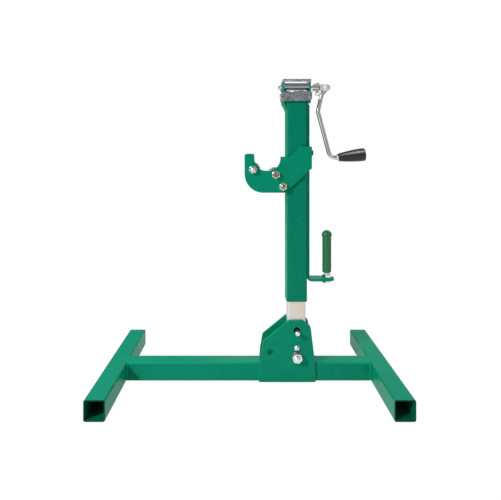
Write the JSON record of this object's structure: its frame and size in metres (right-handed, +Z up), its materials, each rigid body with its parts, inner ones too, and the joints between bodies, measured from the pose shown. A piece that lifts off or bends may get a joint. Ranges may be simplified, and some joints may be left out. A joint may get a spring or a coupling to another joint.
{
  "type": "cable drum jack",
  "caption": "Folding screw jack for a cable drum spindle: H-shaped tube base, telescopic mast raised by a crank and bevel gears, and a sliding hook with rollers.",
  "frame": {"origin": "on the floor under the middle of the base: midway between the two feet, and midway between their front and back ends", "axes": "+X to the right along the crossbar, towards the crank side; +Y to the back along the feet; +Z up along the mast"},
  "size_m": [0.7696, 0.4572, 0.8253],
  "materials": {
    "green_paint": "glossy powder coat with a light orange peel",
    "bright_zinc": "bright zinc plate",
    "pale_zinc": "zinc plated tube with faint drawing marks",
    "plain_steel": "oiled machined steel",
    "crank_zinc": "zinc plated bar",
    "roller_steel": "turned steel",
    "grip_green": "smooth moulded plastic",
    "grip_black": "smooth black plastic"
  },
  "bodies": {
    "base": {"left_foot": "green_paint", "right_foot": "green_paint", "crossbar": "green_paint", "front_plate": "green_paint", "rear_plate": "green_paint", "pivot_bolt": "bright_zinc", "pivot_nut": "bright_zinc", "pivot_washers": "bright_zinc", "keeper_stud": "bright_zinc"},
    "lock_pin": {"lock_pin": "bright_zinc"},
    "inner_mast": {"inner_tube": "pale_zinc", "pivot_bush": "plain_steel", "lift_nut": "plain_steel"},
    "outer_mast": {"outer_tube": "green_paint", "carry_bar": "green_paint", "carry_stud": "bright_zinc", "carry_nuts": "bright_zinc", "carry_grip": "grip_green", "bearing_plate": "green_paint", "left_ear": "green_paint", "right_ear": "green_paint", "gear_guard": "bright_zinc", "guard_screws": "bright_zinc", "top_frame": "bright_zinc", "head_tie": "bright_zinc", "shaft_bushes": "plain_steel", "thrust_bearing": "plain_steel"},
    "screw": {"lift_screw": "plain_steel", "crown_gear": "plain_steel"},
    "crank": {"crank_shaft": "plain_steel", "bevel_pinion": "plain_steel", "shaft_cotter": "bright_zinc", "crank_hub": "crank_zinc", "hub_pin": "bright_zinc"},
    "crank_arm": {"crank_rod": "crank_zinc", "knuckle_pin": "crank_zinc"},
    "crank_grip": {"crank_grip": "grip_black"},
    "hook": {"front_hook": "green_paint", "rear_hook": "green_paint", "hook_bolts": "bright_zinc", "hook_nuts": "bright_zinc", "hook_spacer": "bright_zinc", "hook_crossbar": "green_paint"},
    "outer_roller": {"outer_roller": "roller_steel"},
    "inner_roller": {"inner_roller": "roller_steel"}
  },
  "joints": [
    {"name": "lock_slide", "type": "slide", "parent": "base", "child": "lock_pin", "axis": [0, 1, 0], "range_m": [0, 0.014]},
    {"name": "mast_fold", "type": "hinge", "parent": "base", "child": "inner_mast", "pos_m": [0.1315, 0, 0.0695], "axis": [0, -1, 0], "range_deg": [0, 75]},
    {"name": "mast_lift", "type": "slide", "parent": "inner_mast", "child": "outer_mast", "axis": [0, 0, 1], "range_m": [-0.04, 0.26]},
    {"name": "screw_turn", "type": "hinge", "parent": "outer_mast", "child": "screw", "pos_m": [0.1315, 0, 0.771], "axis": [0, 0, 1], "range_deg": [-2400, 15600]},
    {"name": "crank_spin", "type": "hinge", "parent": "outer_mast", "child": "crank", "pos_m": [0.1315, 0, 0.8055], "axis": [-1, 0, 0], "range_deg": [-6160, 40100]},
    {"name": "crank_fold", "type": "hinge", "parent": "crank", "child": "crank_arm", "pos_m": [0.2174, 0, 0.8055], "axis": [0, -1, 0], "range_deg": [0, 90]},
    {"name": "crank_grip_spin", "type": "hinge", "parent": "crank_arm", "child": "crank_grip", "pos_m": [0.2504, 0, 0.6121], "axis": [0.9934, 0, 0.1149], "continuous": true},
    {"name": "hook_slide", "type": "slide", "parent": "outer_mast", "child": "hook", "axis": [0, 0, 1], "range_m": [-0.26, 0.11]},
    {"name": "outer_roller_spin", "type": "hinge", "parent": "hook", "child": "outer_roller", "pos_m": [0.01148, 0, 0.57912], "axis": [0, 1, 0], "continuous": true},
    {"name": "inner_roller_spin", "type": "hinge", "parent": "hook", "child": "inner_roller", "pos_m": [0.07377, 0, 0.56532], "axis": [0, 1, 0], "continuous": true}
  ],
  "couplings": [
    {"joint": "mast_lift", "follows": "crank_spin", "m_per_rad": 0.00037136},
    {"joint": "screw_turn", "follows": "crank_spin", "ratio": 0.38889}
  ]
}
